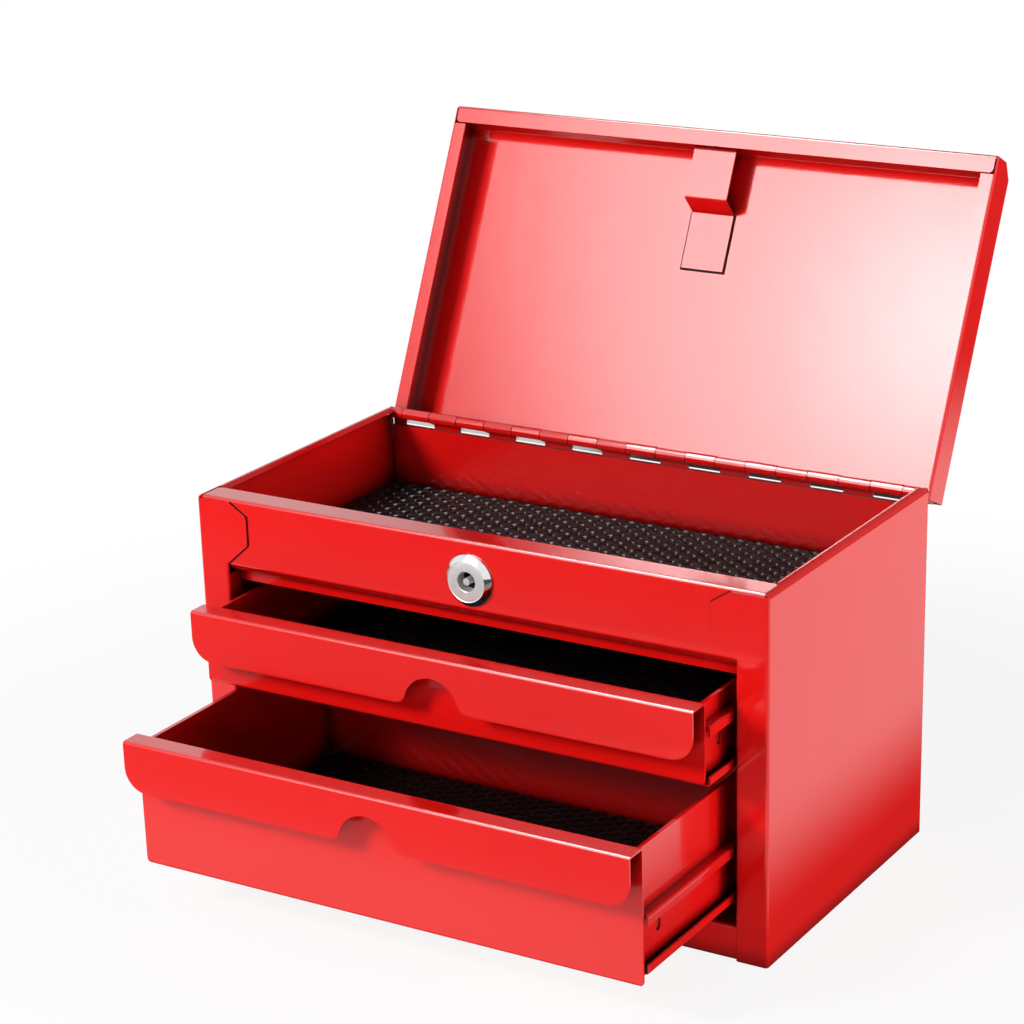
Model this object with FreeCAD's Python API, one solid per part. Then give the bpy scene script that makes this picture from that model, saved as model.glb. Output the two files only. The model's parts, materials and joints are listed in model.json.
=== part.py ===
"""Small steel tool chest: a hinged lid over an open tray, and two drawers below it.

X runs across the front, -Y is the front and Z is up. The origin is the middle of
the underside. Every length is in millimetres. The chest is drawn as it is shown,
with the lid open on its stop and both drawers partly pulled out.
"""
import FreeCAD, Part
import math
import os

os.makedirs("parts", exist_ok=True)
Vector = FreeCAD.Vector

# The pose shown.
lid_open_angle = 116.0
upper_pull = 36.5
lower_pull = 95.5

# Sheet metal.
width = 320.0
depth = 176.0
sheet = 1.0
fold_radius = 0.6
weld_play = 0.2
overrun = 5.0
joint_tolerance = 0.001

# Side panels.
stile_width = 17.0
stile_return = 10.0
rear_flange = 12.0
rim_round = 3.4
rim_flat = 4.2
rim_slope = 1.9
rim_front_width = 2.4
rim_seam = 0.3
bottom_flange = 9.0
return_play = 0.5
tab_reach = 12.5
tab_height = 34.2
tab_chamfer = 11.0
tab_slant_run = 10.0
tab_slant_drop = 6.4
tab_round = 2.0
tab_top_drop = 2.0

# Heights, stacked from the floor up.
plinth_height = 18.0
plinth_return = 7.0
plinth_gap = 6.0
lower_front_height = 69.4
drawer_gap = 6.4
upper_front_height = 41.1
tray_gap = 1.6
tray_depth = 44.7
tray_lip = 6.0
tray_side_flange = 10.0

# Front rail over the drawers.
rail_bevel = 4.0
rail_return = 6.0
rail_top_flange = 15.2
rail_drop = 0.5

# Base pan.
base_rear_flange = 14.0

# Drawer fronts and their pull flaps.
front_play = 2.7
flap_depth = 11.5
flap_height = 25.6
flap_round = 12.0
notch_radius = 15.5
notch_flare = 6.0
front_round = 3.0
front_foot = 9.0
front_foot_inset = 6.0

# Drawer pans.
pan_length = 151.5
pan_drop = 3.0
hem_height = 6.0
pan_tab = 8.0

# Drawer runners: a lipped channel on the drawer over a hat rail in the cabinet.
runner_height = 29.6
runner_depth = 5.6
runner_lip = 5.0
runner_play = 0.9
upper_runner_drop = 0.8
lower_runner_rise = 6.0
runner_start = 1.2
rail_slide_play = 0.3
rail_web_play = 1.1
rail_neck_play = 1.3
rail_start = 14.0
rail_length = 152.0
drawer_travel = 115.0
stop_width = 4.0
stop_thickness = 0.7
stop_length = 2.0
stop_play = 0.3
oval_width = 4.4
oval_height = 6.5
oval_inset = 19.0
oval_rise = 2.5

# Piano hinge.
pin_drop = 3.7
pin_radius = 1.25
pin_play = 0.05
barrel_radius = 3.0
barrel_end_play = 1.0
first_knuckle = 8.2
knuckle_pitch = 17.51
knuckle_play = 0.4
knuckle_flats = 16
leaf_height = 16.0
slot_reach = 6.8
slot_play = 0.5
slot_ledge = 0.3
swing_play = 0.3
swing_strip = 0.7
swing_drop = 4.4
barrel_seat_play = 0.6
flange_play = 0.3

# Lid.
lid_play = 0.3
lid_height = 19.5
lid_front_wall = 11.8
lid_chamfer_run = 7.6
lid_front_flange = 9.0
lid_side_flange = 8.0
lid_corner_play = 0.8
lid_corner_round = 2.4
lid_barrel_play = 0.4

# Catch under the lid.
catch_width = 24.5
catch_drop = 13.0
catch_plate = 35.4
catch_slope = 4.6
catch_foot = 30.3
catch_tab = 5.2

# Tubular cam lock.
lock_drop = 19.9
bezel_radius = 13.0
bezel_edge = 1.2
bezel_cone = 2.2
bezel_face_radius = 10.3
barrel_thread_radius = 9.5
lock_hole_play = 0.2
lock_length = 17.8
keyway_radius = 5.0
plug_play = 0.08
keyway_depth = 6.0
post_radius = 1.8
post_recess = 0.5
key_notch_width = 2.4
key_notch_height = 1.7
nut_flats = 24.0
nut_thickness = 3.0
tail_size = 6.4
washer_flats = 14.0
washer_thickness = 0.8
cam_thickness = 2.0
cam_hub_radius = 7.5
cam_arm_width = 5.6
cam_hook_inner = 29.8
cam_hook_width = 3.2
cam_unlocked_angle = -42.0
cam_hook_sweep = 50.0
cam_face_play = 0.1
screw_head_flats = 7.0
screw_head_height = 2.2
screw_radius = 1.5
screw_length = 5.0

# Non-slip liners.
liner_thickness = 2.5
liner_valley = 1.3
liner_pitch = 10.7
liner_play = 1.5
tray_liner_setback = 25.0

# Places that follow from the sizes.
half_width = width / 2
front_y = -depth / 2
rear_y = depth / 2
inner_x = half_width - sheet
wall_x = inner_x - weld_play
weld_x = inner_x - fold_radius
stile_x = half_width - stile_width
lower_bottom = plinth_height + plinth_gap
lower_top = lower_bottom + lower_front_height
upper_bottom = lower_top + drawer_gap
upper_top = upper_bottom + upper_front_height
tray_z = upper_top + tray_gap + sheet
height = tray_z + tray_depth
rail_foot_z = tray_z + tray_lip
pin_y = rear_y - barrel_radius
pin_z = height - pin_drop
back_y = rear_y - 2 * sheet
slot_z = pin_z - slot_reach
back_top = slot_z - slot_ledge
leaf_foot_z = pin_z - leaf_height
lock_z = height - lock_drop
rail_front_y = front_y + sheet


def placed(plane, u, v, w):
    """A point from profile coordinates (u, v) at w along the axis of the extrusion."""
    if plane == "x":
        return Vector(w, u, v)
    if plane == "y":
        return Vector(u, w, v)
    return Vector(u, v, w)


def box(x0, x1, y0, y1, z0, z1):
    return Part.makeBox(x1 - x0, y1 - y0, z1 - z0, Vector(x0, y0, z0))


def cylinder(radius, start, end):
    axis = end - start
    return Part.makeCylinder(radius, axis.Length, start, axis)


def unit(a, b):
    length = math.hypot(b[0] - a[0], b[1] - a[1])
    return ((b[0] - a[0]) / length, (b[1] - a[1]) / length)


def corner(before, point, after, radius):
    """Start, middle and end of the arc that rounds one corner of a path."""
    d0 = unit(before, point)
    d1 = unit(point, after)
    cross = d0[0] * d1[1] - d0[1] * d1[0]
    dot = d0[0] * d1[0] + d0[1] * d1[1]
    reach = radius * abs(cross) / (1 + dot)
    hand = math.copysign(1, cross)
    start = (point[0] - d0[0] * reach, point[1] - d0[1] * reach)
    end = (point[0] + d1[0] * reach, point[1] + d1[1] * reach)
    centre = (start[0] - hand * d0[1] * radius, start[1] + hand * d0[0] * radius)
    out = unit(centre, point)
    middle = (centre[0] + out[0] * radius, centre[1] + out[1] * radius)
    return start, middle, end


def extruded(edges, plane, w0, w1):
    face = Part.Face(Part.Wire(Part.__sortEdges__(edges)))
    return face.extrude(placed(plane, 0, 0, w1 - w0))


def prism(points, plane, w0, w1, radii=None):
    """A closed outline, each corner rounded by its own radius, extruded along an axis."""
    count = len(points)
    radii = radii or [0] * count
    corners = []
    for i in range(count):
        if radii[i] > 0:
            corners.append(corner(points[i - 1], points[i], points[(i + 1) % count], radii[i]))
        else:
            corners.append((points[i], None, points[i]))
    edges = []
    for i in range(count):
        start, middle, end = corners[i]
        if middle:
            ends = [placed(plane, p[0], p[1], w0) for p in (start, middle, end)]
            edges.append(Part.Arc(*ends).toShape())
        following = corners[(i + 1) % count][0]
        a = placed(plane, end[0], end[1], w0)
        b = placed(plane, following[0], following[1], w0)
        if not a.isEqual(b, joint_tolerance):
            edges.append(Part.LineSegment(a, b).toShape())
    return extruded(edges, plane, w0, w1)


def folded(points, side, plane, w0, w1, sharp=(), inner_radius=None):
    """Sheet bent along an open path. side is 1 if the sheet lies left of it, -1 if right.

    The bends whose numbers are in sharp are drawn as plain corners, and those that are keys
    of inner_radius have their own radius."""
    chains = []
    for offset in (0, sheet):
        line = []
        for i, point in enumerate(points):
            d0 = unit(points[i - 1], point) if i else unit(point, points[1])
            d1 = unit(point, points[i + 1]) if i + 1 < len(points) else d0
            n0 = (-side * d0[1], side * d0[0])
            n1 = (-side * d1[1], side * d1[0])
            share = offset / (1 + n0[0] * n1[0] + n0[1] * n1[1])
            line.append((point[0] + (n0[0] + n1[0]) * share, point[1] + (n0[1] + n1[1]) * share))
        path = [line[0]]
        for i in range(1, len(points) - 1):
            d0 = unit(points[i - 1], points[i])
            d1 = unit(points[i], points[i + 1])
            inside = (d0[0] * d1[1] - d0[1] * d1[0]) * side > 0
            outer = (offset == 0) == inside
            radius = (inner_radius or {}).get(i, fold_radius) + (sheet if outer else 0)
            if i in sharp:
                path.append((line[i], None, line[i]))
            else:
                path.append(corner(line[i - 1], line[i], line[i + 1], radius))
        path.append(line[-1])
        chains.append(path)
    edges = []
    for path in chains:
        here = path[0]
        for start, middle, end in path[1:-1]:
            edges.append(Part.LineSegment(placed(plane, *here, w0), placed(plane, *start, w0)).toShape())
            if middle:
                arc = [placed(plane, p[0], p[1], w0) for p in (start, middle, end)]
                edges.append(Part.Arc(*arc).toShape())
            here = end
        edges.append(Part.LineSegment(placed(plane, *here, w0), placed(plane, *path[-1], w0)).toShape())
    for tip in (0, -1):
        a = placed(plane, *chains[0][tip], w0)
        b = placed(plane, *chains[1][tip], w0)
        edges.append(Part.LineSegment(a, b).toShape())
    return extruded(edges, plane, w0, w1)


def joined(pieces):
    return pieces[0].multiFuse(pieces[1:]).removeSplitter()


def mirrored(shape):
    return shape.mirror(Vector(0, 0, 0), Vector(1, 0, 0))


def opened(shape):
    """The lid's pieces are drawn shut and then swung open about the pin."""
    turned = shape.copy()
    turned.rotate(Vector(0, pin_y, pin_z), Vector(1, 0, 0), -lid_open_angle)
    return turned


def pulled(shape, pull):
    """A drawer's pieces are drawn shut and then pulled towards the front."""
    moved = shape.copy()
    moved.translate(Vector(0, -pull, 0))
    return moved


def corner_cut(x, z, radius, across, up, y0, y1):
    """What rounding takes off a sheet's corner at (x, z). across and up point off the sheet."""
    cx = x - across * radius
    cz = z - up * radius
    xs = sorted((cx, x + across * overrun))
    zs = sorted((cz, z + up * overrun))
    keep = cylinder(radius, Vector(cx, y0 - overrun, cz), Vector(cx, y1 + overrun, cz))
    block = box(xs[0], xs[1], y0, y1, zs[0], zs[1])
    tip = box(min(cx, x), max(cx, x), y0 - overrun, y1 + overrun, min(cz, z), max(cz, z))
    return block.cut(keep).fuse(tip.cut(keep).common(block)).removeSplitter()


def side_panel():
    """Right side: stile, wall and rear flange in one sheet, with a tab over the front rail."""
    plan = [
        (stile_x, front_y + stile_return),
        (stile_x, front_y),
        (half_width, front_y),
        (half_width, rear_y),
        (half_width - rear_flange, rear_y),
    ]
    wall = folded(plan, 1, "z", 0, height)
    tab_top = height - tab_top_drop
    tab_edge = stile_x - tab_reach
    tab_outline = [
        (stile_x + fold_radius + sheet, tab_top),
        (tab_edge + tab_slant_run, tab_top),
        (tab_edge, tab_top - tab_slant_drop),
        (tab_edge, height - tab_height + tab_chamfer),
        (stile_x, height - tab_height),
        (stile_x + fold_radius + sheet, height - tab_height),
    ]
    tab = prism(tab_outline, "y", front_y, rail_front_y, [0, 0, tab_round, tab_round, 0, 0])
    panel = wall.cut(box(stile_x - overrun, stile_x + fold_radius + sheet, front_y - overrun,
                         front_y + stile_return + overrun, height - tab_height, height + overrun))
    returns = [
        (-overrun, plinth_height + return_play),
        (rail_foot_z - return_play - sheet, height + overrun),
    ]
    for z0, z1 in returns:
        panel = panel.cut(box(stile_x - overrun, stile_x + sheet + fold_radius, rail_front_y,
                              front_y + stile_return + overrun, z0, z1))
    front_top = box(stile_x - tab_reach - overrun, half_width + overrun, front_y - overrun,
                    rail_front_y, tab_top, height + overrun)
    rear_top = box(half_width - rear_flange - overrun, inner_x, rear_y - sheet - fold_radius,
                   rear_y + overrun, leaf_foot_z - flange_play, height + overrun)
    panel = panel.fuse(tab).cut(front_top).cut(rear_top)
    crest_x = half_width - rim_flat
    rim_path = [
        (half_width, height - 2 * rim_round),
        (half_width, height),
        (crest_x, height),
        (crest_x - rim_slope, height - rim_slope),
    ]
    rim = folded(rim_path, 1, "y", rail_front_y, rear_y, inner_radius={1: rim_round - sheet})
    front_x = half_width - rim_front_width
    rim = rim.cut(box(crest_x - rim_slope - overrun, front_x, front_y - overrun,
                      front_y + rail_top_flange + rim_seam, height - rim_round, height + overrun))
    foot_path = [
        (half_width - bottom_flange, sheet),
        (inner_x, sheet),
        (inner_x, sheet + bottom_flange),
    ]
    foot = folded(foot_path, 1, "y", front_y + stile_return, rear_y - rear_flange, (1,))
    square_top = box(inner_x - sheet, half_width + overrun, rail_front_y, rear_y + overrun,
                     height - rim_round, height + overrun)
    panel = panel.cut(square_top)
    panel = joined([panel, rim, foot])
    for cut in hinge_room():
        panel = panel.cut(cut)
    return panel.removeSplitter()


def hinge_room():
    """What the right side gives way to at the hinge: the barrel's end and the lid's swinging corner."""
    seat_y = pin_y - barrel_radius - barrel_seat_play
    seat_x = half_width - rim_flat - rim_slope - overrun
    seat = box(seat_x, inner_x, seat_y, rear_y + overrun, height - 2 * rim_round, height + overrun)
    swing = height + lid_play - pin_z - swing_play
    block = box(seat_x, half_width + overrun, pin_y, rear_y + overrun, pin_z, height + overrun)
    keep = cylinder(swing, Vector(seat_x - overrun, pin_y, pin_z),
                    Vector(half_width + 2 * overrun, pin_y, pin_z))
    strip = box(seat_x, half_width + overrun, rear_y - swing_strip, rear_y + overrun,
                pin_z - swing_drop, height + overrun)
    return seat, block.cut(keep), strip


def front_rail():
    path = [
        (rail_front_y + rail_bevel + rail_return, rail_foot_z),
        (rail_front_y + rail_bevel, rail_foot_z),
        (rail_front_y, rail_foot_z + rail_bevel),
        (rail_front_y, height - rail_drop),
        (front_y + rail_top_flange, height - rail_drop),
    ]
    rail = folded(path, -1, "x", -weld_x, weld_x)
    flange_x = half_width - rim_front_width - weld_play
    for x0, x1 in ((-half_width - overrun, -flange_x), (flange_x, half_width + overrun)):
        rail = rail.cut(box(x0, x1, front_y - overrun, front_y + rail_top_flange + overrun,
                            height - rim_round - weld_play, height + overrun))
    hole = cylinder(barrel_thread_radius + lock_hole_play, Vector(0, front_y - overrun, lock_z),
                    Vector(0, rail_front_y + overrun, lock_z))
    return rail.cut(hole)


def base_pan():
    path = [
        (back_y, base_rear_flange),
        (back_y, 0),
        (rail_front_y, 0),
        (rail_front_y, plinth_height),
        (rail_front_y + plinth_return, plinth_height),
    ]
    return folded(path, -1, "x", -weld_x, weld_x)


def back_panel():
    return box(-weld_x, weld_x, back_y, back_y + sheet, 0, back_top)


def tray_floor():
    lip_y = rail_front_y + rail_bevel + rail_return
    across = [
        (-wall_x, tray_z - tray_side_flange),
        (-wall_x, tray_z),
        (wall_x, tray_z),
        (wall_x, tray_z - tray_side_flange),
    ]
    floor = folded(across, -1, "y", lip_y, back_y)
    lip_path = [
        (lip_y - sheet, rail_foot_z),
        (lip_y - sheet, tray_z - sheet),
        (lip_y + tray_lip, tray_z - sheet),
    ]
    lip = folded(lip_path, 1, "x", -wall_x + fold_radius + sheet, wall_x - fold_radius - sheet, (1,))
    return joined([floor, lip])


def knuckles():
    """The barrel's knuckles from left to right, as start, end and the leaf each is rolled on."""
    end = inner_x - barrel_end_play
    x = -end
    stops = [x, x + first_knuckle]
    while stops[-1] < end:
        stops.append(stops[-1] + knuckle_pitch)
    stops[-1] = end
    if stops[-1] - stops[-2] < first_knuckle / 2:
        del stops[-2]
    return [(a, b, i % 2) for i, (a, b) in enumerate(zip(stops, stops[1:]))]


def rolled(radius, x0, x1):
    """A roll round the pin's line, with flats in place of a full round."""
    reach = radius / math.cos(math.pi / knuckle_flats)
    corners = []
    for i in range(knuckle_flats):
        turn = 2 * math.pi * (i + 1 / 2) / knuckle_flats
        corners.append((pin_y + reach * math.cos(turn), pin_z + reach * math.sin(turn)))
    return prism(corners, "x", x0, x1)


def hinge_leaf(lid_leaf):
    """A leaf with its rolled knuckles, and slots that clear the other leaf's knuckles."""
    end = inner_x - barrel_end_play
    up = 1 if lid_leaf else -1
    zs = sorted((pin_z, pin_z + up * leaf_height))
    leaf = box(-end, end, rear_y - sheet, rear_y, zs[0], zs[1])
    slots = []
    rings = []
    for x0, x1, owner in knuckles():
        if owner == int(lid_leaf):
            rings.append(rolled(barrel_radius, x0 + knuckle_play / 2, x1 - knuckle_play / 2))
        else:
            s0 = x0 - slot_play - (overrun if x0 <= -end else 0)
            s1 = x1 + slot_play + (overrun if x1 >= end else 0)
            slot = sorted((pin_z + up * slot_reach, pin_z - up * overrun))
            slots.append(box(s0, s1, rear_y - sheet - overrun, rear_y + overrun, *slot))
    leaf = leaf.cut(slots)
    if lid_leaf:
        bore = cylinder(pin_radius + pin_play, Vector(-end - overrun, pin_y, pin_z),
                        Vector(end + overrun, pin_y, pin_z))
    else:
        bore = rolled(pin_radius + pin_play, -end - overrun, end + overrun)
    return joined([leaf] + rings).cut(bore)


def hinge_pin():
    end = inner_x - barrel_end_play
    return cylinder(pin_radius, Vector(-end, pin_y, pin_z), Vector(end, pin_y, pin_z))


def lid_outline(inset):
    """The lid's section, shrunk evenly by a wall: front, chamfer, top, rear and open foot."""
    z0 = height + lid_play
    rear = rear_y - sheet
    slope = math.atan2(lid_height - lid_front_wall, lid_chamfer_run)
    low = inset * math.tan(math.pi / 4 - slope / 2)
    high = inset * math.tan(slope / 2)
    return [
        (front_y + inset, z0 + inset),
        (front_y + inset, z0 + lid_front_wall - low),
        (front_y + lid_chamfer_run + high, z0 + lid_height - inset),
        (rear - inset, z0 + lid_height - inset),
        (rear - inset, z0 + inset),
    ]


def lid_bend(edge):
    """Whether one of the lid's outer edges is bent: all but the creases of its front and its rear corners."""
    middle = edge.CenterOfMass
    crease = abs(middle.x) < joint_tolerance and middle.z > height + lid_play + joint_tolerance
    return middle.y < rear_y - sheet - joint_tolerance and not crease


def lid_shell():
    """A shallow pan, shut here, with its rims folded inwards and a chamfered front."""
    z0 = height + lid_play
    outside = fold_radius + sheet
    outer = prism(lid_outline(0), "x", -half_width, half_width)
    outer = outer.makeFillet(outside, [edge for edge in outer.Edges if lid_bend(edge)])
    inner = prism(lid_outline(sheet), "x", -inner_x, inner_x, [fold_radius] * 5)
    shell = outer.cut(inner)
    mouth_x = half_width - lid_side_flange
    mouth_y = front_y + lid_front_flange
    flange_end = pin_y - barrel_radius - lid_barrel_play
    flange_top = z0 + sheet + fold_radius
    free_x = inner_x - lid_corner_play
    open_foot = box(-inner_x, inner_x, front_y + outside, rear_y, z0 - overrun, flange_top)
    flange = [(-free_x, front_y), (free_x, front_y), (free_x, mouth_y), (-free_x, mouth_y)]
    front_flange = prism(flange, "z", z0 - overrun, flange_top,
                         [0, 0, lid_corner_round, lid_corner_round])
    open_foot = open_foot.cut(front_flange)
    for hand in (-1, 1):
        xs = sorted((hand * mouth_x, hand * half_width))
        open_foot = open_foot.cut(box(*xs, mouth_y + lid_corner_play, flange_end, z0 - overrun, flange_top))
    shell = shell.cut(open_foot)
    rear_cut = box(-inner_x, inner_x, rear_y - 2 * sheet - fold_radius, rear_y + overrun,
                   z0 - overrun, pin_z + slot_reach)
    return opened(shell.cut(rear_cut).removeSplitter())


def lid_catch():
    """Strap under the lid that the lock's hook reaches over, foot flat on the lid."""
    skin = height + lid_play + lid_height - sheet
    plate = skin - catch_drop
    start = front_y + sheet
    path = [
        (start, plate + catch_tab),
        (start, plate),
        (start + catch_plate, plate),
        (start + catch_plate + catch_slope, skin - sheet),
        (start + catch_plate + catch_slope + catch_foot, skin - sheet),
    ]
    return opened(folded(path, 1, "x", -catch_width / 2, catch_width / 2))


def finger_notch(z, y0, y1):
    """Arch in the flap's lower edge, with flares that run out level."""
    reach = math.sqrt((notch_radius + notch_flare) ** 2 - notch_flare ** 2)
    share = notch_radius / (notch_radius + notch_flare)
    touch = (reach * share, z + notch_flare * share)
    toward = unit((reach, z + notch_flare), (0, z))
    way = unit((0, 0), (toward[0], toward[1] - 1))
    flare = (reach + way[0] * notch_flare, z + notch_flare + way[1] * notch_flare)

    def at(point, hand=1):
        return Vector(hand * point[0], y0, point[1])

    edges = [
        Part.Arc(at((reach, z)), at(flare), at(touch)).toShape(),
        Part.Arc(at(touch), at((0, z + notch_radius)), at(touch, -1)).toShape(),
        Part.Arc(at(touch, -1), at(flare, -1), at((reach, z), -1)).toShape(),
    ]
    foot = [(-reach, z), (-reach, z - overrun), (reach, z - overrun), (reach, z)]
    for a, b in zip(foot, foot[1:]):
        edges.append(Part.LineSegment(at(a), at(b)).toShape())
    return extruded(edges, "y", y0, y1)


def drawer_front(bottom, top):
    """Recessed panel, with its top folded forwards and down as a full-width pull."""
    half = stile_x - front_play
    panel_y = front_y + flap_depth
    path = [
        (front_y, top - flap_height),
        (front_y, top),
        (panel_y + sheet, top),
        (panel_y + sheet, bottom + sheet),
        (panel_y + sheet + front_foot, bottom + sheet),
    ]
    front = folded(path, -1, "x", -half, half)
    flap_y = (front_y - overrun, front_y + sheet + fold_radius)
    front = front.cut(finger_notch(top - flap_height, *flap_y))
    for hand in (-1, 1):
        front = front.cut(corner_cut(hand * half, top - flap_height, flap_round, hand, -1, *flap_y))
        front = front.cut(corner_cut(hand * half, bottom, front_round, hand, -1,
                                     panel_y - overrun, panel_y + sheet))
        xs = sorted((hand * (half - front_foot_inset), hand * (half + overrun)))
        front = front.cut(box(xs[0], xs[1], panel_y + sheet, panel_y + front_foot + overrun,
                              bottom - overrun, bottom + sheet + fold_radius))
    return front.removeSplitter()


def runner_back_x():
    return stile_x - runner_play - runner_depth


def drawer_pan(bottom, top):
    """Floor, hemmed sides and rear wall, welded to the back of the drawer's front."""
    half = runner_back_x()
    y0 = front_y + flap_depth + sheet
    y1 = y0 + pan_length
    floor_z = bottom + sheet
    rim = top - pan_drop
    section = [(-half, rim), (-half, floor_z), (half, floor_z), (half, rim)]
    tray = folded(section, 1, "y", y0 + fold_radius, y1)
    rear = box(-half + sheet, half - sheet, y1 - sheet, y1, floor_z + sheet, rim)
    pieces = [tray, rear]
    for hand in (-1, 1):
        hem = sorted((hand * (half - sheet), hand * (half - 2 * sheet)))
        pieces.append(box(*hem, y0 + fold_radius, y1 - sheet, rim - hem_height, rim))
        tab = sorted((hand * (half - sheet), hand * (half - pan_tab)))
        pieces.append(box(*tab, y0, y0 + sheet, floor_z + sheet + fold_radius, rim))
    return joined(pieces)


def drawer_runner(z0):
    """Lipped channel on a drawer's right side, its lips facing each other."""
    x0 = runner_back_x()
    x1 = x0 + runner_depth
    z1 = z0 + runner_height
    y0 = front_y + flap_depth + sheet + runner_start
    y1 = front_y + flap_depth + sheet + pan_length
    path = [(x1, z0 + runner_lip), (x1, z0), (x0, z0), (x0, z1), (x1, z1), (x1, z1 - runner_lip)]
    channel = folded(path, -1, "y", y0, y1, (2, 3))
    middle = (z0 + z1) / 2
    hole_z = middle + oval_rise
    oval_y = front_y + flap_depth + oval_inset
    straight = (oval_height - oval_width) / 2
    outline = [
        (oval_y - oval_width / 2, hole_z - straight - oval_width / 2),
        (oval_y + oval_width / 2, hole_z - straight - oval_width / 2),
        (oval_y + oval_width / 2, hole_z + straight + oval_width / 2),
        (oval_y - oval_width / 2, hole_z + straight + oval_width / 2),
    ]
    oval = prism(outline, "x", x0 - overrun, x0 + sheet + fold_radius, [oval_width / 2] * 4)
    stop_y = front_y + rail_start + stop_length + stop_play + drawer_travel
    stop_top = middle + runner_height / 2 - sheet - rail_slide_play
    stop = box(x0 + sheet / 2, x0 + sheet + stop_thickness, stop_y, stop_y + stop_length,
               stop_top - stop_width, stop_top - fold_radius)
    return joined([channel.cut(oval), stop])


def cabinet_rail(z0):
    """Hat rail on the cabinet's right side. Its brims run inside the drawer's channel."""
    middle = z0 + runner_height / 2
    brim = runner_height / 2 - sheet - rail_slide_play
    neck = runner_height / 2 - runner_lip - rail_neck_play - sheet
    x0 = runner_back_x() + sheet + rail_web_play
    y0 = front_y + rail_start
    path = [
        (x0, middle + brim),
        (x0, middle + neck),
        (inner_x - sheet, middle + neck),
        (inner_x - sheet, middle - neck),
        (x0, middle - neck),
        (x0, middle - brim),
    ]
    rail = folded(path, 1, "y", y0, y0 + rail_length, (1, 2, 3, 4))
    tongue = box(x0 - stop_thickness, x0 + sheet / 2, y0, y0 + stop_length,
                 middle + brim - stop_width, middle + brim)
    return joined([rail, tongue])


def turned(profile):
    """A lock piece turned about the lock's axis, from radius and depth behind the sheet."""
    points = [Vector(r, rail_front_y + y, lock_z) for r, y in profile]
    wire = Part.makePolygon(points + [points[0]])
    return Part.Face(wire).revolve(Vector(0, 0, lock_z), Vector(0, 1, 0), 360)


def lock_housing():
    """Chrome bezel and threaded barrel, with the round keyway left open at the front."""
    face = bezel_edge + bezel_cone
    body = turned([
        (keyway_radius, lock_length),
        (barrel_thread_radius, lock_length),
        (barrel_thread_radius, 0),
        (bezel_radius, 0),
        (bezel_radius, -bezel_edge),
        (bezel_face_radius, -face),
        (keyway_radius, -face),
    ])
    notch = box(-key_notch_width / 2, key_notch_width / 2, rail_front_y - face - overrun,
                rail_front_y - face + keyway_depth, lock_z, lock_z + keyway_radius + key_notch_height)
    return body.cut(notch)


def hexagon(flats, y0, y1):
    """A hexagonal block round the lock's axis, from its width across the flats."""
    reach = flats / math.sqrt(3)
    corners = []
    for i in range(6):
        turn = math.radians(60 * i)
        corners.append((reach * math.cos(turn), lock_z + reach * math.sin(turn)))
    return prism(corners, "y", y0, y1)


def lock_nut():
    y0 = rail_front_y + sheet
    y1 = y0 + nut_thickness
    bore = cylinder(barrel_thread_radius, Vector(0, y0 - overrun, lock_z), Vector(0, y1 + overrun, lock_z))
    return hexagon(nut_flats, y0, y1).cut(bore)


def tail_block(y0, y1):
    return box(-tail_size / 2, tail_size / 2, y0, y1, lock_z - tail_size / 2, lock_z + tail_size / 2)


def lock_plug():
    """Centre post and plug, with a square tail that drives the cam."""
    face = bezel_edge + bezel_cone
    floor = keyway_depth - face
    radius = keyway_radius - plug_play
    plug = turned([
        (0, post_recess - face),
        (post_radius, post_recess - face),
        (post_radius, floor),
        (radius, floor),
        (radius, lock_length),
        (0, lock_length),
    ])
    tail_y = rail_front_y + lock_length
    tail = tail_block(tail_y, tail_y + cam_face_play + washer_thickness + cam_thickness)
    bore = cylinder(screw_radius, Vector(0, tail_y, lock_z),
                    Vector(0, tail_y + lock_length, lock_z))
    deep = cylinder(screw_radius,
                    Vector(0, tail_y + cam_face_play + washer_thickness + cam_thickness
                           - screw_length, lock_z), Vector(0, tail_y, lock_z))
    return plug.fuse(tail).removeSplitter().cut(bore).cut(deep)


def washer_y():
    return rail_front_y + lock_length + cam_face_play


def lock_stop_washer():
    y0 = washer_y()
    y1 = y0 + washer_thickness
    return hexagon(washer_flats, y0, y1).cut(tail_block(y0 - overrun, y1 + overrun))


def lock_cam():
    """Flat cam with a hook struck about the lock's axis, turned down as when unlocked."""
    y0 = washer_y() + washer_thickness
    y1 = y0 + cam_thickness
    outer = cam_hook_inner + cam_hook_width
    a = Vector(0, y0, lock_z)
    b = Vector(0, y1, lock_z)
    hub = cylinder(cam_hub_radius, a, b)
    ring = cylinder(outer, a, b).cut(cylinder(cam_hook_inner, a, b))
    disc = cylinder(outer, a, b)
    arm = box(0, outer + overrun, y0, y1, lock_z - cam_arm_width / 2, lock_z + cam_arm_width / 2)
    arm.rotate(a, Vector(0, 1, 0), -cam_unlocked_angle)
    start = math.radians(cam_unlocked_angle)
    end = math.radians(cam_unlocked_angle + cam_hook_sweep)
    reach = 2 * outer
    wedge = prism([
        (0, lock_z),
        (reach * math.cos(start), lock_z + reach * math.sin(start)),
        (reach * math.cos(end), lock_z + reach * math.sin(end)),
    ], "y", y0, y1)
    tip = Vector(math.cos(end) * (outer - cam_hook_width / 2), y0,
                 lock_z + math.sin(end) * (outer - cam_hook_width / 2))
    nose = cylinder(cam_hook_width / 2, tip, tip + Vector(0, cam_thickness, 0))
    cam = joined([hub, arm.common(disc), ring.common(wedge), nose])
    return cam.cut(tail_block(y0 - overrun, y1 + overrun))


def lock_cam_screw():
    y0 = washer_y() + washer_thickness + cam_thickness
    head = hexagon(screw_head_flats, y0, y0 + screw_head_height)
    shank = cylinder(screw_radius, Vector(0, y0 - screw_length, lock_z), Vector(0, y0, lock_z))
    return head.fuse(shank).removeSplitter()


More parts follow.
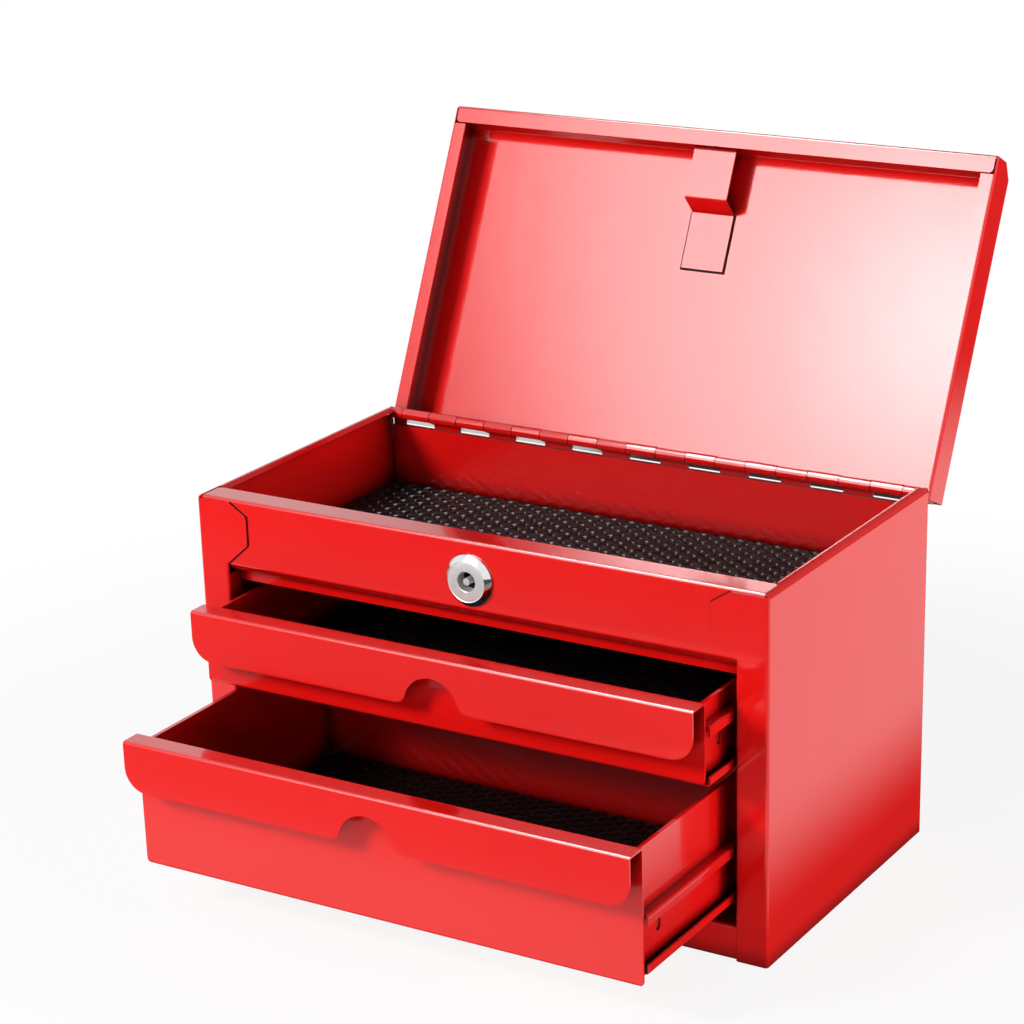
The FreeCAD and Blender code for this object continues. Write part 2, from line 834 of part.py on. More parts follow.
def tray_liner():
    """Open mesh as one mat, with a ridge along each row of knots."""
    half = wall_x - liner_play
    rows = round(2 * half / liner_pitch)
    pitch = 2 * half / rows
    outline = [(-half, tray_z), (half, tray_z)]
    for i in range(rows):
        x = half - pitch * i
        outline.append((x, tray_z + liner_valley))
        outline.append((x - pitch / 2, tray_z + liner_thickness))
    outline.append((-half, tray_z + liner_valley))
    return prism(outline, "y", front_y + tray_liner_setback, back_y - liner_play)


def drawer_liner(bottom):
    half = runner_back_x() - sheet - liner_play
    y0 = front_y + flap_depth + 2 * sheet + liner_play
    y1 = front_y + flap_depth + pan_length - liner_play
    return box(-half, half, y0, y1, bottom + 2 * sheet, bottom + 2 * sheet + liner_thickness)


nodes = {
    "side_panel_right": side_panel(),
    "side_panel_left": mirrored(side_panel()),
    "back_panel": back_panel(),
    "base_pan": base_pan(),
    "front_rail": front_rail(),
    "tray_floor": tray_floor(),
    "tray_liner": tray_liner(),
    "hinge_leaf_body": hinge_leaf(False),
    "hinge_leaf_lid": opened(hinge_leaf(True)),
    "hinge_pin": hinge_pin(),
    "lid_shell": lid_shell(),
    "lid_catch": lid_catch(),
    "lock_housing": lock_housing(),
    "lock_nut": lock_nut(),
    "lock_plug": lock_plug(),
    "lock_stop_washer": lock_stop_washer(),
    "lock_cam": lock_cam(),
    "lock_cam_screw": lock_cam_screw(),
}

drawers = {
    "upper": (upper_bottom, upper_top, upper_bottom - upper_runner_drop, upper_pull),
    "lower": (lower_bottom, lower_top, lower_bottom + lower_runner_rise, lower_pull),
}
for name, (bottom, top, runner_z, pull) in drawers.items():
    nodes[name + "_drawer_front"] = pulled(drawer_front(bottom, top), pull)
    nodes[name + "_drawer_pan"] = pulled(drawer_pan(bottom, top), pull)
    nodes[name + "_drawer_liner"] = pulled(drawer_liner(bottom), pull)
    nodes[name + "_runner_right"] = pulled(drawer_runner(runner_z), pull)
    nodes[name + "_runner_left"] = pulled(mirrored(drawer_runner(runner_z)), pull)
    nodes[name + "_rail_right"] = cabinet_rail(runner_z)
    nodes[name + "_rail_left"] = mirrored(cabinet_rail(runner_z))

for name, shape in nodes.items():
    if not shape.isValid() or shape.Volume <= 0:
        raise ValueError(name + " did not build a valid solid")
    print(name, len(shape.Solids), round(shape.Volume / 1000, 2), "cm3")
    shape.exportStep("parts/" + name + ".step")
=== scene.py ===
"""Red sheet-steel tool chest: finishes, liners, small details, light and camera."""
import bpy
import json
import math
import numpy as np
from mathutils import Matrix, Vector

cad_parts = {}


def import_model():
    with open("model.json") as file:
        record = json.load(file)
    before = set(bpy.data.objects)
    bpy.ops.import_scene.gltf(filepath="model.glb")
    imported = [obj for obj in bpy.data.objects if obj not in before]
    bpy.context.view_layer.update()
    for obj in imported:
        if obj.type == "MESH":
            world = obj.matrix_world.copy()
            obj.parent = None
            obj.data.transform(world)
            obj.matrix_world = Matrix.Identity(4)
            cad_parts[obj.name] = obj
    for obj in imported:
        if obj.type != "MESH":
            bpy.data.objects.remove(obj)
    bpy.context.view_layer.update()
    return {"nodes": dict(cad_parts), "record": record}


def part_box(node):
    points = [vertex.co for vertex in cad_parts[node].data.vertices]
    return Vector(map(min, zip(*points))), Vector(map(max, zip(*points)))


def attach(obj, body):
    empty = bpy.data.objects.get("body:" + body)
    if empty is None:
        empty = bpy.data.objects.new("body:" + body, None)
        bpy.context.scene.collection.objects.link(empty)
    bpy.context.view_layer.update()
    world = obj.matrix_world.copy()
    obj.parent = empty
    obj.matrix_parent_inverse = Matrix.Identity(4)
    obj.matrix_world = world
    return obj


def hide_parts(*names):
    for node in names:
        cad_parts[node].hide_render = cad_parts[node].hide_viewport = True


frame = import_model()
nodes = frame["nodes"]
scene = bpy.context.scene

# the chest, in metres and degrees
WIDTH = 0.320
CENTRE = Vector((0.0, 0.0, 0.14))
PIN = (0.085, 0.1845)
LID_OPEN = 116.0
LID_SKIN = 0.2070

# the lock: radii about its axis, and how far its face stands before its seat
LOCK_HEIGHT = 0.1683
LOCK_FACE = 0.0101
LOCK_KEYWAY = 0.0050
LOCK_POST = 0.0018
LOCK_EDGE = 0.0002
BEZEL_RISE = 0.0034
BEZEL_STEPS = 96
BEZEL_CREASE = 28

# the liners' weave; its heights are from its middle, WEAVE_MIDDLE below the mat's top
LINER_PITCH_X = 0.0107
LINER_PITCH_Y = 0.0080
LINER_STEP = 0.00085
STRAND = 0.0026
STRAND_RISE = 0.0014
STRAND_WEAVE = 0.0006
WEAVE_MIDDLE = 0.0018
WEAVE_FLOOR = -0.0012
BORDER_WAVE = 0.0011
BORDER_WIDTH = 0.006
BORDER_DROP = 0.0009

# the strip of painted shade at the seam round the catch's foot, in the shut lid's place
CATCH_HALF = 0.01225
CATCH_FOOT = (-0.0470, -0.0167)
CATCH_SEAM = 0.0006
CATCH_SEAM_LEFT = 0.0007
CATCH_SEAM_RIGHT = 0.0009
CATCH_SEAM_REAR = 0.0010
CATCH_SEAM_RISE = (-0.0007, -0.00005)

# the tabs' edges on the rail's face, the way out from each corner, and where the strips of painted
# shade lie along them
RAIL_FACE = -0.0870
TAB_EDGE = [(0.1405, 0.1862), (0.1305, 0.1798), (0.1305, 0.1650), (0.1430, 0.1540)]
TAB_AWAY = [(-0.54, 0.84), (-0.92, 0.40), (-0.91, -0.42), (-0.66, -0.75)]
TAB_SEAM_REACH = (-0.0003, 0.0005)
TAB_SEAM_DEPTH = (-0.00018, 0.0001)

# the plane that the open lid mirrors toward the camera
KEY_CENTRE = (-0.738, -1.189, 0.995)
KEY_ACROSS = (0.8498, -0.5272, 0.0)
KEY_UP = (0.2747, 0.4428, 0.8535)

# the studio; each pair of places is where a change begins and ends
AMBIENT = 0.15
REAR_GLOSS = 0.22
WORLD_LEFT = (-0.42, -0.56)
WORLD_REAR = (0.05, 0.30)
FLOOR_HALF = 9.0
FLOOR_HEIGHT = -0.0002
FLOOR_SHADE = (0.30, 0.62)
FLOOR_CAST = 0.50
FLOOR_SEEN = 0.88
FLOOR_GLOSS = 0.80
FLOOR_GLOSS_LEAST = 0.03
FLOOR_ASIDE = (0.020, 0.085)
FLOOR_AHEAD = (-0.175, -0.215)
FLOOR_FRONT = (-0.52, -0.43)
FLOOR_FRONT_LEVEL = (0.06, 0.28)
FLOOR_CLOSE = (-0.33, -0.245)
FLOOR_CLOSE_LEVEL = (1.0, 3.6)
FLOOR_REAR = (0.95, 0.60)

# the camera; the picture's sizes are in pixels
AZIMUTH = 31.015
ELEVATION = 21.741
ROLL = -1.328
DISTANCE = 1.4961
AIM = Vector((0.0, -0.003, 0.090))
PICTURE = 1024
FOCAL = 2936.5
MIDDLE = (562.55, 674.58)
SENSOR = 36.0


# nodes
def add(tree, kind, **values):
    node = tree.nodes.new(kind)
    for key, value in values.items():
        if key in node.inputs:
            node.inputs[key].default_value = value
        else:
            setattr(node, key, value)
    return node


def empty_material(name):
    mat = bpy.data.materials.new(name)
    mat.use_nodes = True
    tree = mat.node_tree
    tree.nodes.clear()
    return mat, tree, add(tree, "ShaderNodeOutputMaterial")


def new_material(name):
    mat, tree, out = empty_material(name)
    shader = add(tree, "ShaderNodeBsdfPrincipled")
    tree.links.new(shader.outputs["BSDF"], out.inputs["Surface"])
    return mat, tree, shader


def noise(tree, scale, detail, stretch=None):
    source = add(tree, "ShaderNodeTexCoord").outputs["Object"]
    if stretch:
        mapping = add(tree, "ShaderNodeMapping", Scale=stretch)
        tree.links.new(source, mapping.inputs["Vector"])
        source = mapping.outputs["Vector"]
    tex = add(tree, "ShaderNodeTexNoise", Scale=scale, Detail=detail, Roughness=0.5)
    tree.links.new(source, tex.inputs["Vector"])
    return tex.outputs["Fac"]


def ramp(tree, source, low, high, color_low, color_high):
    node = add(tree, "ShaderNodeValToRGB")
    first, last = node.color_ramp.elements
    first.position = low
    first.color = color_low
    last.position = high
    last.color = color_high
    tree.links.new(source, node.inputs["Fac"])
    return node.outputs["Color"]


def remap(tree, source, a, b, low=0.0, high=1.0, smooth=False):
    node = add(tree, "ShaderNodeMapRange")
    node.inputs["From Min"].default_value = a
    node.inputs["From Max"].default_value = b
    node.inputs["To Min"].default_value = low
    node.inputs["To Max"].default_value = high
    if smooth:
        node.interpolation_type = "SMOOTHSTEP"
    tree.links.new(source, node.inputs["Value"])
    return node.outputs["Result"]


def maths(tree, operation, *sources):
    node = add(tree, "ShaderNodeMath", operation=operation)
    for i, source in enumerate(sources):
        tree.links.new(source, node.inputs[i])
    return node.outputs[0]


def length_of(tree, source):
    node = add(tree, "ShaderNodeVectorMath", operation="LENGTH")
    tree.links.new(source, node.inputs[0])
    return node.outputs["Value"]


def bump(tree, source, strength, distance, under=None):
    node = add(tree, "ShaderNodeBump", Strength=strength, Distance=distance)
    tree.links.new(source, node.inputs["Height"])
    if under:
        tree.links.new(under, node.inputs["Normal"])
    return node.outputs["Normal"]


def blend(tree, factor, first, second):
    node = add(tree, "ShaderNodeMixShader")
    for i, source in enumerate((factor, first, second)):
        tree.links.new(source, node.inputs[i])
    return node.outputs[0]


# finishes
def red_enamel():
    """Glossy enamel with painted shade that darkens it in the folds."""
    mat, tree, shader = new_material("red_enamel")
    color = ramp(tree, noise(tree, 14.0, 3.0), 0.2, 0.8,
                 (0.70, 0.0055, 0.0050, 1), (0.735, 0.0070, 0.0058, 1))
    # painted shade: where ambient occlusion finds folds and corners, the colour turns toward this
    # dark red
    corner = add(tree, "ShaderNodeAmbientOcclusion", samples=8, Distance=0.014)
    fold_shade = add(tree, "ShaderNodeMix", data_type="RGBA")
    fold_shade.inputs["A"].default_value = (0.05, 0.0008, 0.0008, 1)
    tree.links.new(remap(tree, corner.outputs["AO"], 0.30, 0.88), fold_shade.inputs["Factor"])
    tree.links.new(color, fold_shade.inputs["B"])
    tree.links.new(fold_shade.outputs["Result"], shader.inputs["Base Color"])
    rough = remap(tree, noise(tree, 55.0, 4.0), 0.3, 0.7, 0.14, 0.17)
    tree.links.new(rough, shader.inputs["Roughness"])
    shader.inputs["IOR"].default_value = 1.5
    shader.inputs["Coat Weight"].default_value = 0.6
    shader.inputs["Coat Roughness"].default_value = 0.03
    shader.inputs["Coat IOR"].default_value = 1.5
    peel = bump(tree, noise(tree, 520.0, 2.0), 0.05, 0.0004)
    swell = bump(tree, noise(tree, 60.0, 1.0), 0.04, 0.002, peel)
    tree.links.new(swell, shader.inputs["Normal"])
    tree.links.new(peel, shader.inputs["Coat Normal"])
    return mat


def chrome():
    """Polished bezel round a satin face, with painted shade in the keyway and a bright post in it.
    """
    mat, tree, shader = new_material("lock_chrome")
    coord = add(tree, "ShaderNodeTexCoord")
    about = add(tree, "ShaderNodeVectorMath", operation="SUBTRACT")
    tree.links.new(coord.outputs["Object"], about.inputs[0])
    about.inputs[1].default_value = (0.0, 0.0, LOCK_HEIGHT)
    flat = add(tree, "ShaderNodeVectorMath", operation="MULTIPLY")
    tree.links.new(about.outputs[0], flat.inputs[0])
    flat.inputs[1].default_value = (1.0, 0.0, 1.0)
    radius = length_of(tree, flat.outputs[0])
    ring = remap(tree, radius, LOCK_FACE, LOCK_FACE + 2 * LOCK_EDGE)
    polish = remap(tree, ring, 0.0, 1.0, 0.66, 1.0)
    color = ramp(tree, noise(tree, 260.0, 3.0), 0.3, 0.7,
                 (0.74, 0.75, 0.76, 1), (0.84, 0.84, 0.84, 1))
    # painted shade: between the post and the keyway's rim the colour is near black
    inner = remap(tree, radius, LOCK_KEYWAY - LOCK_EDGE, LOCK_KEYWAY)
    post = remap(tree, radius, LOCK_POST, LOCK_POST + LOCK_EDGE, 1.0, 0.0)
    lit = maths(tree, "MAXIMUM", inner, post)
    keyway_shade = add(tree, "ShaderNodeMix", data_type="RGBA")
    keyway_shade.inputs["A"].default_value = (0.006, 0.005, 0.006, 1)
    tree.links.new(lit, keyway_shade.inputs["Factor"])
    tree.links.new(color, keyway_shade.inputs["B"])
    tree.links.new(keyway_shade.outputs["Result"], shader.inputs["Base Color"])
    metal = add(tree, "ShaderNodeMix", data_type="FLOAT")
    metal.inputs["A"].default_value = 1.0
    tree.links.new(lit, metal.inputs["Factor"])
    tree.links.new(polish, metal.inputs["B"])
    tree.links.new(metal.outputs["Result"], shader.inputs["Metallic"])
    haze = noise(tree, 900.0, 3.0)
    rough = add(tree, "ShaderNodeMix", data_type="FLOAT")
    tree.links.new(ring, rough.inputs["Factor"])
    tree.links.new(remap(tree, haze, 0.3, 0.7, 0.34, 0.50), rough.inputs["A"])
    tree.links.new(remap(tree, haze, 0.3, 0.7, 0.03, 0.09), rough.inputs["B"])
    tree.links.new(rough.outputs["Result"], shader.inputs["Roughness"])
    tree.links.new(bump(tree, haze, 0.05, 0.0002), shader.inputs["Normal"])
    return mat


def plated_steel(name, low, high, rough_low, rough_high):
    mat, tree, shader = new_material(name)
    shader.inputs["Metallic"].default_value = 1.0
    color = ramp(tree, noise(tree, 180.0, 4.0), 0.3, 0.7, low, high)
    tree.links.new(color, shader.inputs["Base Color"])
    haze = noise(tree, 700.0, 3.0, stretch=(1, 1, 12))
    tree.links.new(remap(tree, haze, 0.3, 0.7, rough_low, rough_high), shader.inputs["Roughness"])
    tree.links.new(bump(tree, haze, 0.15, 0.0002), shader.inputs["Normal"])
    return mat


def liner_foam():
    mat, tree, shader = new_material("liner_foam")
    tone = noise(tree, 900.0, 3.0)
    color = ramp(tree, tone, 0.35, 0.7, (0.0020, 0.0016, 0.0018, 1), (0.0060, 0.0050, 0.0050, 1))
    tree.links.new(color, shader.inputs["Base Color"])
    shader.inputs["Specular IOR Level"].default_value = 0.04
    shader.inputs["Coat Weight"].default_value = 0.26
    shader.inputs["Coat Roughness"].default_value = 0.05
    tree.links.new(remap(tree, tone, 0.3, 0.7, 0.35, 0.55), shader.inputs["Roughness"])
    pebble = bump(tree, noise(tree, 1300.0, 2.0), 0.22, 0.0006)
    tree.links.new(pebble, shader.inputs["Normal"])
    return mat


def seam_shade():
    """Painted shade: a dark sheet that stands for the shade in a narrow seam."""
    mat, tree, shader = new_material("seam_shade")
    color = ramp(tree, noise(tree, 300.0, 2.0), 0.3, 0.7,
                 (0.010, 0.0012, 0.0012, 1), (0.022, 0.002, 0.002, 1))
    tree.links.new(color, shader.inputs["Base Color"])
    shader.inputs["Roughness"].default_value = 0.8
    shader.inputs["Specular IOR Level"].default_value = 0.15
    return mat


enamel = red_enamel()
bright = chrome()
zinc = plated_steel("zinc_steel", (0.42, 0.42, 0.40, 1), (0.60, 0.60, 0.57, 1), 0.28, 0.45)
wire = plated_steel("pin_steel", (0.30, 0.29, 0.28, 1), (0.50, 0.49, 0.48, 1), 0.30, 0.45)
foam = liner_foam()
shade = seam_shade()
finish_of_slot = {
    "red_paint": enamel, "lock_chrome": bright,
    "zinc_steel": zinc, "pin_steel": wire, "liner": foam,
}
for part in frame["record"]["subparts"]:
    mesh = nodes[part["node"]].data
    mesh.materials.clear()
    mesh.materials.append(finish_of_slot[part["material_slot"]])


# pieces
def mesh_object(name, verts, faces, material, smooth=True):
    mesh = bpy.data.meshes.new(name)
    mesh.from_pydata(verts, [], faces)
    mesh.update()
    mesh.materials.append(material)
    if smooth:
        mesh.polygons.foreach_set("use_smooth", [True] * len(mesh.polygons))
    obj = bpy.data.objects.new(name, mesh)
    scene.collection.objects.link(obj)
    return obj


def weave_height(x, y, top):
    """Height of two sets of diagonal strands that pass over and under each other."""
    u = x / LINER_PITCH_X + y / LINER_PITCH_Y
    v = x / LINER_PITCH_X - y / LINER_PITCH_Y
    pitch = 1.0 / math.hypot(1 / LINER_PITCH_X, 1 / LINER_PITCH_Y)
    du = (u - np.round(u)) * pitch
    dv = (v - np.round(v)) * pitch
    over = np.cos(math.pi * np.round(u)) * np.cos(math.pi * v)
    under = np.cos(math.pi * np.round(v)) * np.cos(math.pi * u)
    hu = np.sqrt(np.clip(1 - (du / STRAND) ** 2, 0, 1))
    hv = np.sqrt(np.clip(1 - (dv / STRAND) ** 2, 0, 1))
    zu = np.where(hu > 0, hu * STRAND_RISE + over * STRAND_WEAVE, WEAVE_FLOOR)
    zv = np.where(hv > 0, hv * STRAND_RISE - under * STRAND_WEAVE, WEAVE_FLOOR)
    return top - WEAVE_MIDDLE + np.maximum(np.maximum(zu, zv), WEAVE_FLOOR)


def liner(name, node, body):
    """A woven mat over a liner's solid, closed below by one face."""
    low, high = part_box(node)
    x0, x1, y0, y1 = low.x, high.x, low.y, high.y
    nx = int((x1 - x0) / LINER_STEP)
    ny = int((y1 - y0) / LINER_STEP)
    xs = np.linspace(x0, x1, nx + 1)
    ys = np.linspace(y0, y1, ny + 1)
    gx, gy = np.meshgrid(xs, ys, indexing="ij")
    # the border runs in and out with the strands
    wave_x = BORDER_WAVE * (1 - np.cos(2 * math.pi * gx / LINER_PITCH_X))
    wave_y = BORDER_WAVE * (1 - np.cos(2 * math.pi * gy / LINER_PITCH_Y))
    near0 = np.clip(1 - (gy - y0) / BORDER_WIDTH, 0, 1)
    near1 = np.clip(1 - (y1 - gy) / BORDER_WIDTH, 0, 1)
    side0 = np.clip(1 - (gx - x0) / BORDER_WIDTH, 0, 1)
    side1 = np.clip(1 - (x1 - gx) / BORDER_WIDTH, 0, 1)
    bx = gx + wave_y * side0 - wave_y * side1
    by = gy + wave_x * near0 - wave_x * near1
    z = weave_height(gx, gy, high.z)
    rim = np.minimum(np.minimum(gx - x0, x1 - gx), np.minimum(gy - y0, y1 - gy))
    z = np.where(rim < LINER_STEP * 0.5, np.minimum(z, high.z - BORDER_DROP), z)
    top = np.stack([bx, by, z], -1).reshape(-1, 3)
    # the underside has only the border's points
    count = (nx + 1) * (ny + 1)
    index = np.arange(count).reshape(nx + 1, ny + 1)
    loop = list(index[:, 0]) + list(index[-1, 1:])
    loop += list(index[::-1, -1][1:]) + list(index[0, ::-1][1:-1])
    base = top[loop].copy()
    base[:, 2] = low.z
    verts = np.concatenate([top, base])
    corners = [index[:-1, :-1], index[1:, :-1], index[1:, 1:], index[:-1, 1:]]
    faces = np.stack([c.ravel() for c in corners], -1).tolist()
    m = len(loop)
    for i in range(m):
        j = (i + 1) % m
        faces.append([loop[i], count + i, count + j, loop[j]])
    faces.append([count + i for i in range(m)][::-1])
    obj = mesh_object(name, verts.tolist(), faces, foam)
    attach(obj, body)
    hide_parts(node)


def lathe(name, profile, count, material):
    """A closed ring turned about the lock's axis from (radius, y) points."""
    verts = []
    for radius, y in profile:
        for i in range(count):
            turn = 2 * math.pi * i / count
            verts.append((radius * math.cos(turn), y, LOCK_HEIGHT + radius * math.sin(turn)))
    faces = []
    rings = len(profile)
    for j in range(rings):
        k = (j + 1) % rings
        for i in range(count):
            n = (i + 1) % count
            faces.append([j * count + i, j * count + n, k * count + n, k * count + i])
    obj = mesh_object(name, verts, faces, material)
    obj.data.set_sharp_from_angle(angle=math.radians(BEZEL_CREASE))
    return obj


def on_lid(x, y, z):
    """A point of the shut lid, carried to where the lid stands open."""
    turn = math.radians(-LID_OPEN)
    y -= PIN[0]
    z -= PIN[1]
    return (
        x,
        PIN[0] + y * math.cos(turn) - z * math.sin(turn),
        PIN[1] + y * math.sin(turn) + z * math.cos(turn),
    )


def strip_faces(n, closed):
    """Faces of a thin solid strip from four rows of n points, two in front of two."""
    faces = [] if closed else [[0, n, 3 * n, 2 * n], [n - 1, 3 * n - 1, 4 * n - 1, 2 * n - 1]]
    for i in range(n if closed else n - 1):
        j = (i + 1) % n
        faces.append([i, j, n + j, n + i])
        faces.append([2 * n + i, 3 * n + i, 3 * n + j, 2 * n + j])
        faces.append([i, 2 * n + i, 2 * n + j, j])
        faces.append([n + i, n + j, 3 * n + j, 3 * n + i])
    return faces


def catch_seam_shade():
    """Painted shade at the seam round the catch's foot: a dark flat frame lying on the lid's skin.
    """
    front, rear = CATCH_FOOT
    left = -CATCH_HALF - CATCH_SEAM_LEFT
    right = CATCH_HALF + CATCH_SEAM_RIGHT
    back = rear + CATCH_SEAM_REAR
    outer = [(left, front), (right, front), (right, back), (left, back)]
    inner = [(-CATCH_HALF, front + CATCH_SEAM), (CATCH_HALF, front + CATCH_SEAM),
             (CATCH_HALF, rear), (-CATCH_HALF, rear)]
    verts = []
    for rise in CATCH_SEAM_RISE:
        for loop in (outer, inner):
            verts += [on_lid(x, y, LID_SKIN + rise) for x, y in loop]
    obj = mesh_object("catch_seam_shade", verts, strip_faces(len(outer), True), shade, False)
    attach(obj, "lid")


def tab_edge_shade(name, hand):
    """Painted shade at the edge of the stile's tab: a dark strip along its outline on the rail's
    face.
    """
    verts = []
    for depth in TAB_SEAM_DEPTH:
        for reach in TAB_SEAM_REACH:
            for (x, z), (dx, dz) in zip(TAB_EDGE, TAB_AWAY):
                verts.append((hand * (x + dx * reach), RAIL_FACE + depth, z + dz * reach))
    obj = mesh_object(name, verts, strip_faces(len(TAB_EDGE), False), shade, False)
    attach(obj, "cabinet")


liner("tray_mesh", "tray_liner", "cabinet")
liner("upper_mesh", "upper_drawer_liner", "upper_drawer")
liner("lower_mesh", "lower_drawer_liner", "lower_drawer")

low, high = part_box("lock_housing")
face_y = low.y
seat_y = face_y + BEZEL_RISE
bezel = lathe("lock_bezel", [
    (LOCK_KEYWAY, high.y), (0.0095, high.y), (0.0095, seat_y),
    (0.0130, seat_y), (0.0130, seat_y - 0.0010), (0.0127, seat_y - 0.0014),
    (0.0106, face_y + 0.0002), (0.0103, face_y), (0.0100, face_y + 0.0002),
    (0.0097, face_y + 0.0001), (0.0052, face_y + 0.0001), (LOCK_KEYWAY, face_y + 0.0004),
], BEZEL_STEPS, bright)
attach(bezel, "cabinet")
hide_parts("lock_housing")

catch_seam_shade()
tab_edge_shade("tab_edge_shade_right", 1)
tab_edge_shade("tab_edge_shade_left", -1)


# studio
def flat_sheet(name, half_width, half_height, z=0.0):
    w, h = half_width, half_height
    mesh = bpy.data.meshes.new(name)
    mesh.from_pydata([(-w, -h, z), (w, -h, z), (w, h, z), (-w, h, z)], [], [(0, 1, 2, 3)])
    obj = bpy.data.objects.new(name, mesh)
    scene.collection.objects.link(obj)
    return obj


def floor():
    """White paper. In the gloss it shows as a glow with painted light and shade: bright close round
    the chest and dark farther out.
    """
    obj = flat_sheet("floor", FLOOR_HALF, FLOOR_HALF, FLOOR_HEIGHT)
    mat, tree, out = empty_material("floor")
    paper = add(tree, "ShaderNodeBsdfDiffuse", Color=(0.93, 0.925, 0.92, 1))
    white = add(tree, "ShaderNodeEmission", Color=(1, 1, 1, 1), Strength=1.0)
    path = add(tree, "ShaderNodeLightPath")
    position = add(tree, "ShaderNodeNewGeometry").outputs["Position"]
    split = add(tree, "ShaderNodeSeparateXYZ")
    tree.links.new(position, split.inputs[0])
    lift = remap(tree, path.outputs["Is Camera Ray"], 0.0, 1.0, FLOOR_CAST, FLOOR_SEEN)
    beyond = remap(tree, length_of(tree, position), *FLOOR_SHADE, smooth=True)
    tree.links.new(lift, beyond.node.inputs["To Min"])
    ground = blend(tree, beyond, paper.outputs[0], white.outputs[0])
    # the same paper as the gloss shows it: painted shadow right beside the chest, painted light
    # just before it, dimmer far to the front and rear
    across = maths(tree, "ABSOLUTE", split.outputs["X"])
    aside = remap(tree, across, WIDTH / 2 + FLOOR_ASIDE[0], WIDTH / 2 + FLOOR_ASIDE[1], smooth=True)
    ahead = remap(tree, split.outputs["Y"], *FLOOR_AHEAD, smooth=True)
    clear = maths(tree, "MAXIMUM", aside, ahead)
    front = remap(tree, split.outputs["Y"], *FLOOR_FRONT, *FLOOR_FRONT_LEVEL, smooth=True)
    close = remap(tree, split.outputs["Y"], *FLOOR_CLOSE, *FLOOR_CLOSE_LEVEL, smooth=True)
    rear = remap(tree, split.outputs["Y"], *FLOOR_REAR, smooth=True)
    level = clear
    for factor in (front, close, rear):
        level = maths(tree, "MULTIPLY", level, factor)
    painted_glow = add(tree, "ShaderNodeEmission", Color=(1, 0.985, 0.97, 1))
    gloss = remap(tree, level, 0.0, 1.0, FLOOR_GLOSS_LEAST, FLOOR_GLOSS)
    tree.links.new(gloss, painted_glow.inputs["Strength"])
    mixed = blend(tree, path.outputs["Is Glossy Ray"], ground, painted_glow.outputs[0])
    tree.links.new(mixed, out.inputs["Surface"])
    obj.data.materials.append(mat)


def world():
    """White behind the chest. Its gloss is dimmer to the rear, but for the far left."""
    scene.world = bpy.data.worlds.new("studio")
    scene.world.use_nodes = True
    tree = scene.world.node_tree
    tree.nodes.clear()
    out = add(tree, "ShaderNodeOutputWorld")
    fill = add(tree, "ShaderNodeBackground", Color=(1, 1, 1, 1), Strength=AMBIENT)
    seen = add(tree, "ShaderNodeBackground", Color=(1, 1, 1, 1))
    coord = add(tree, "ShaderNodeTexCoord")
    way = add(tree, "ShaderNodeSeparateXYZ")
    tree.links.new(coord.outputs["Generated"], way.inputs[0])
    rear = add(tree, "ShaderNodeMix", data_type="FLOAT")
    tree.links.new(remap(tree, way.outputs["Y"], *WORLD_REAR, smooth=True), rear.inputs["Factor"])
    rear.inputs["A"].default_value = 1.0
    tree.links.new(remap(tree, way.outputs["X"], *WORLD_LEFT, REAR_GLOSS, 1.0), rear.inputs["B"])
    path = add(tree, "ShaderNodeLightPath")
    direct = maths(tree, "MAXIMUM", rear.outputs["Result"], path.outputs["Is Camera Ray"])
    tree.links.new(direct, seen.inputs["Strength"])
    either = maths(tree, "MAXIMUM", path.outputs["Is Camera Ray"], path.outputs["Is Glossy Ray"])
    tree.links.new(blend(tree, either, fill.outputs[0], seen.outputs[0]), out.inputs["Surface"])


def lamp(name, direction, distance, size, level):
    """A soft lamp that stands in a direction from the chest.

    The level is the light that it gives a matt white face."""
    place = CENTRE + Vector(direction).normalized() * distance
    data = bpy.data.lights.new(name, "AREA")
    data.shape = "DISK"
    data.size = size
    data.energy = level * math.pi ** 2 * distance ** 2
    obj = bpy.data.objects.new(name, data)
    obj.location = place
    obj.rotation_euler = (CENTRE - place).to_track_quat("-Z", "Y").to_euler()
    obj.visible_camera = False
    obj.visible_glossy = False
    scene.collection.objects.link(obj)


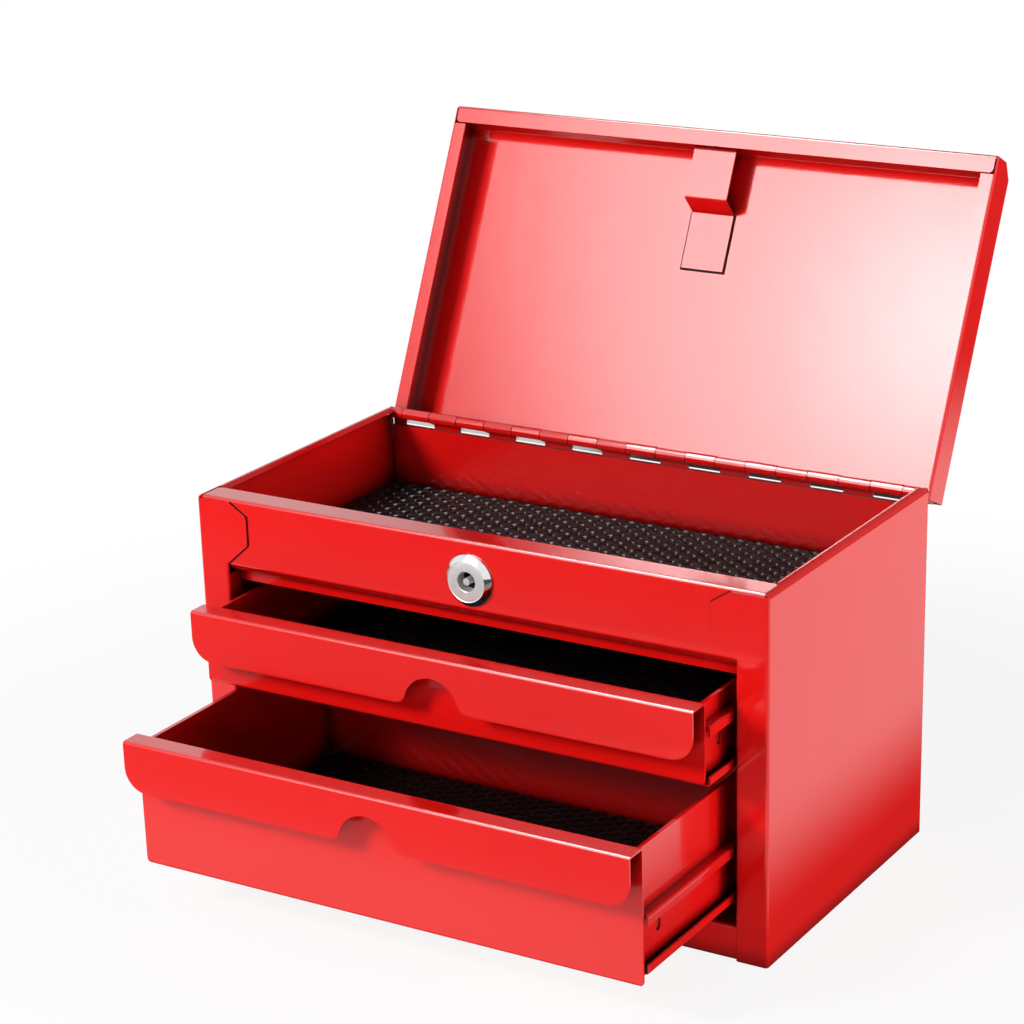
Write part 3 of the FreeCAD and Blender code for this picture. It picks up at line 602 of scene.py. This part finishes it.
def panel(name, place, width, height, strength, solid):
    """A glowing panel that shows in the gloss, even over its solid share and fading to its rim."""
    w = width / 2
    h = height / 2
    obj = flat_sheet(name, w, h)
    obj.location = place
    obj.rotation_euler = (CENTRE - Vector(place)).to_track_quat("Z", "Y").to_euler()
    mat, tree, out = empty_material(name)
    glow = add(tree, "ShaderNodeEmission", Color=(1, 1, 1, 1))
    coord = add(tree, "ShaderNodeTexCoord")
    shrink = add(tree, "ShaderNodeMapping", Scale=(1 / w, 1 / h, 1))
    tree.links.new(coord.outputs["Object"], shrink.inputs["Vector"])
    reach = length_of(tree, shrink.outputs["Vector"])
    fade = remap(tree, reach, solid, 1.0, strength, 0.0, smooth=True)
    tree.links.new(fade, glow.inputs["Strength"])
    through = add(tree, "ShaderNodeBsdfTransparent")
    both = add(tree, "ShaderNodeAddShader")
    tree.links.new(glow.outputs[0], both.inputs[0])
    tree.links.new(through.outputs[0], both.inputs[1])
    tree.links.new(both.outputs[0], out.inputs["Surface"])
    obj.data.materials.append(mat)
    obj.visible_camera = False
    obj.visible_diffuse = False
    obj.visible_shadow = False


def key_place(across, upward):
    """A place in the plane that the open lid mirrors toward the camera."""
    return Vector(KEY_CENTRE) + Vector(KEY_ACROSS) * across + Vector(KEY_UP) * upward


def add_camera():
    azimuth = math.radians(AZIMUTH)
    elevation = math.radians(ELEVATION)
    roll = math.radians(ROLL)
    back = Vector((math.sin(azimuth) * math.cos(elevation),
                   -math.cos(azimuth) * math.cos(elevation),
                   math.sin(elevation)))
    side = Vector((0, 0, 1)).cross(back).normalized()
    over = back.cross(side)
    right = side * math.cos(roll) + over * math.sin(roll)
    up = over * math.cos(roll) - side * math.sin(roll)
    place = AIM + back * DISTANCE
    data = bpy.data.cameras.new("camera")
    data.sensor_fit = "HORIZONTAL"
    data.sensor_width = SENSOR
    data.lens = FOCAL * SENSOR / PICTURE
    data.shift_x = (PICTURE / 2 - MIDDLE[0]) / PICTURE
    data.shift_y = (MIDDLE[1] - PICTURE / 2) / PICTURE
    data.clip_start = 0.05
    data.clip_end = 60.0
    camera = bpy.data.objects.new("camera", data)
    camera.matrix_world = Matrix((
        (right.x, up.x, back.x, place.x),
        (right.y, up.y, back.y, place.y),
        (right.z, up.z, back.z, place.z),
        (0, 0, 0, 1),
    ))
    scene.collection.objects.link(camera)
    return camera


floor()
world()
panel("key_panel", key_place(0.26, 0.40), 1.66, 1.66, 6.5, 0.51)
panel("key_middle", key_place(0.20, 0.254), 0.59, 0.59, 7.7, 0.0)
panel("top_panel", (-0.55, -0.05, 1.55), 1.2, 0.6, 20.0, 0.5)
lamp("key_lamp", (-0.45, -0.75, 0.50), 1.7, 0.5, 0.83)
lamp("right_lamp", (1.0, 0.15, 0.10), 1.6, 0.4, 0.60)
lamp("front_fill", (0.25, -1.0, 0.12), 1.5, 0.5, 0.14)

bpy.context.scene.camera = add_camera()
scene.view_settings.view_transform = "Standard"
